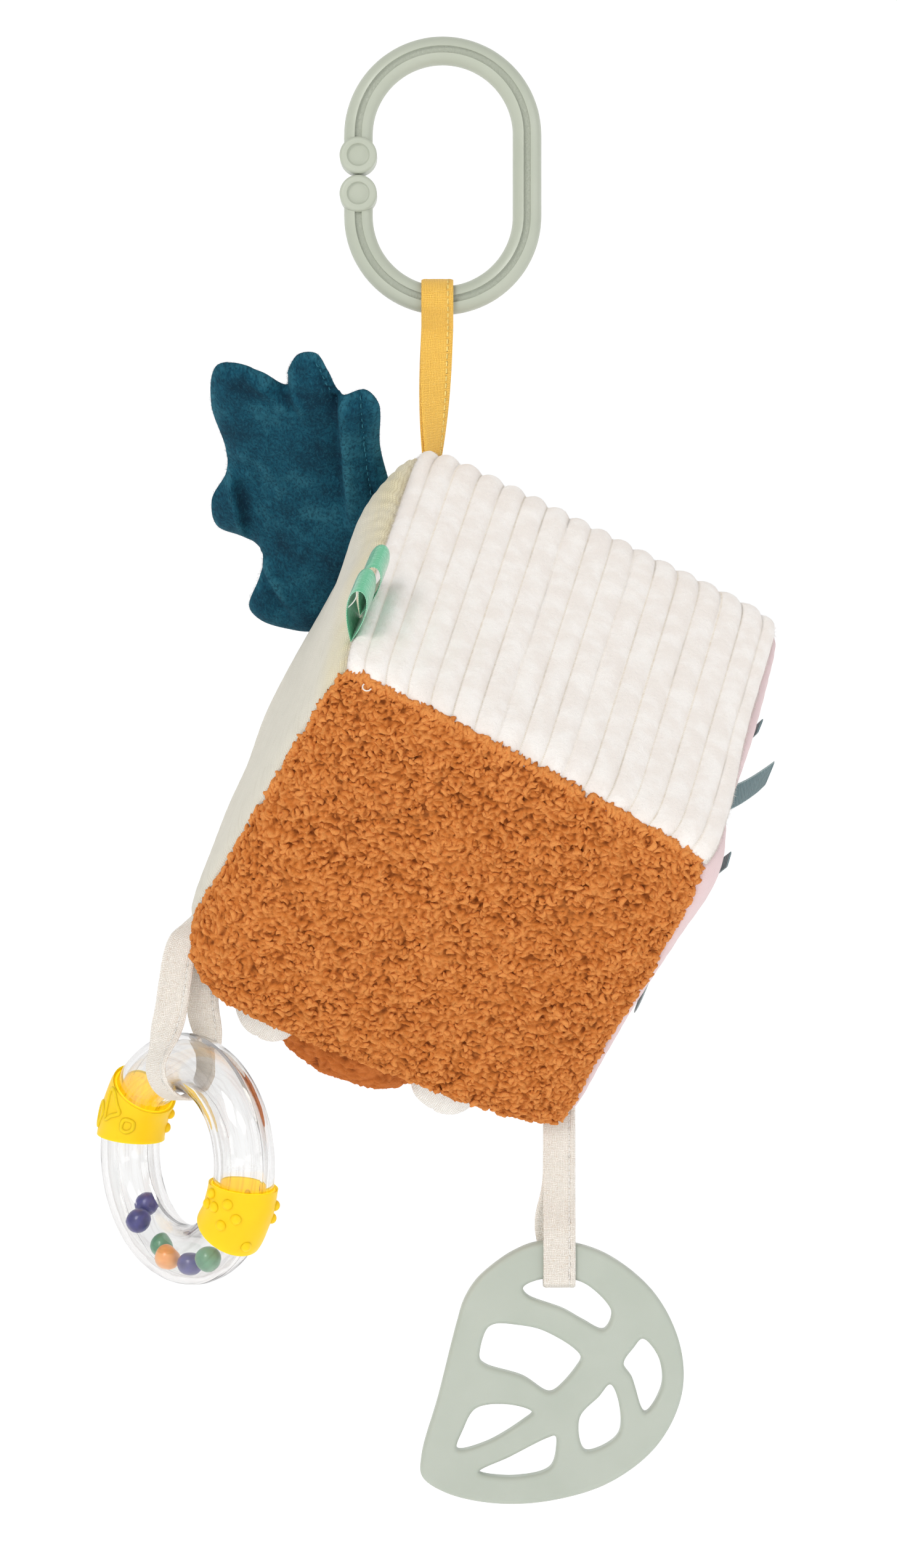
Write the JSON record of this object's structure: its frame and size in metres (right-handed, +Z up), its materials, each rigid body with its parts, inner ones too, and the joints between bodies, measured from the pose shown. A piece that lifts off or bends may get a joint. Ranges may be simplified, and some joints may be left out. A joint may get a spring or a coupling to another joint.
{
  "type": "soft activity block",
  "caption": "Soft stuffed activity block for a baby, hanging by one corner from a link ring, with a clear bead ring and a leaf teether on straps.",
  "frame": {"origin": "inner top of the link ring, where the toy hangs", "axes": "+Z up, +X to the viewer's right, -Y towards the viewer"},
  "size_m": [0.2139, 0.1847, 0.4581],
  "materials": {
    "sage_plastic": "moulded plastic, satin",
    "yellow_linen": "woven linen tape",
    "wadding": "loose fibre",
    "white_plush": "short ribbed plush",
    "brown_curls": "curly pile",
    "linen": "knitted, matte",
    "pink_jersey": "jersey, matte",
    "peach_cotton": "woven cotton",
    "grey_velour": "velour",
    "green_satin": "satin ribbon",
    "teal_grosgrain": "ribbed ribbon",
    "strap_linen": "woven linen tape",
    "blue_velour": "velour",
    "clear_plastic": "clear, polished",
    "yellow_silicone": "satin silicone",
    "sage_silicone": "matte silicone",
    "purple_bead": "polished",
    "green_bead": "polished",
    "orange_bead": "polished"
  },
  "bodies": {
    "link": {"link_ring": "sage_plastic"},
    "ribbon": {"hanging_ribbon": "yellow_linen"},
    "block": {"filling_core": "wadding", "white_ribbed_panel": "white_plush", "brown_curl_panel": "brown_curls", "linen_panel": "linen", "pink_panel": "pink_jersey", "peach_back_panel": "peach_cotton", "grey_bottom_panel": "grey_velour", "front_satin_tag": "green_satin", "rear_satin_tag": "green_satin", "pink_side_ribbon_1": "teal_grosgrain", "pink_side_ribbon_2": "teal_grosgrain", "pink_side_ribbon_3": "teal_grosgrain", "pink_side_ribbon_4": "teal_grosgrain", "left_foot_pad": "strap_linen", "right_foot_pad": "strap_linen", "curl_belly": "brown_curls"},
    "leaf": {"leaf_outer_cover": "blue_velour", "leaf_inner_cover": "blue_velour"},
    "rattle_tape": {"rattle_strap": "strap_linen"},
    "rattle": {"rattle_front_half": "clear_plastic", "rattle_rear_half": "clear_plastic", "upper_sleeve": "yellow_silicone", "lower_sleeve": "yellow_silicone"},
    "beads": {"bead_1": "purple_bead", "bead_2": "purple_bead", "bead_3": "green_bead", "bead_4": "orange_bead", "bead_5": "purple_bead", "bead_6": "green_bead", "bead_7": "orange_bead"},
    "teether_tape": {"teether_strap": "strap_linen"},
    "teether_plate": {"teether": "sage_silicone"}
  },
  "joints": [
    {"name": "ribbon_swing", "type": "hinge", "parent": "link", "child": "ribbon", "pos_m": [-0.0017, 0, -0.0737], "axis": [1, 0, 0], "range_deg": [-45, 45]},
    {"name": "block_swing", "type": "hinge", "parent": "ribbon", "child": "block", "pos_m": [-0.0067, 0, -0.1227], "axis": [0, 1, 0], "range_deg": [-15, 15]},
    {"name": "leaf_fold", "type": "hinge", "parent": "block", "child": "leaf", "pos_m": [-0.02906, 0.03134, -0.15473], "axis": [-0.3972, 0.6322, -0.6652], "range_deg": [-25, 25], "stiffness_Nm_per_rad": 0.06},
    {"name": "rattle_strap_swing", "type": "hinge", "parent": "block", "child": "rattle_tape", "pos_m": [-0.07647, -0.01776, -0.26921], "axis": [1, 0, 0], "range_deg": [-30, 30]},
    {"name": "rattle_turn", "type": "hinge", "parent": "rattle_tape", "child": "rattle", "pos_m": [-0.07938, -0.01526, -0.34108], "axis": [-0.7659, -0.6428, -0.0134], "range_deg": [-22, 90]},
    {"name": "beads_roll", "type": "hinge", "parent": "rattle", "child": "beads", "pos_m": [-0.07938, -0.01526, -0.34108], "axis": [-0.7659, -0.6428, -0.0134], "continuous": true},
    {"name": "teether_strap_swing", "type": "hinge", "parent": "block", "child": "teether_tape", "pos_m": [0.03796, -0.00664, -0.32924], "axis": [1, 0, 0], "range_deg": [-30, 30]},
    {"name": "teether_sway", "type": "hinge", "parent": "teether_tape", "child": "teether_plate", "pos_m": [0.03629, -0.00664, -0.38], "axis": [0, 1, 0], "range_deg": [-10, 10]}
  ]
}
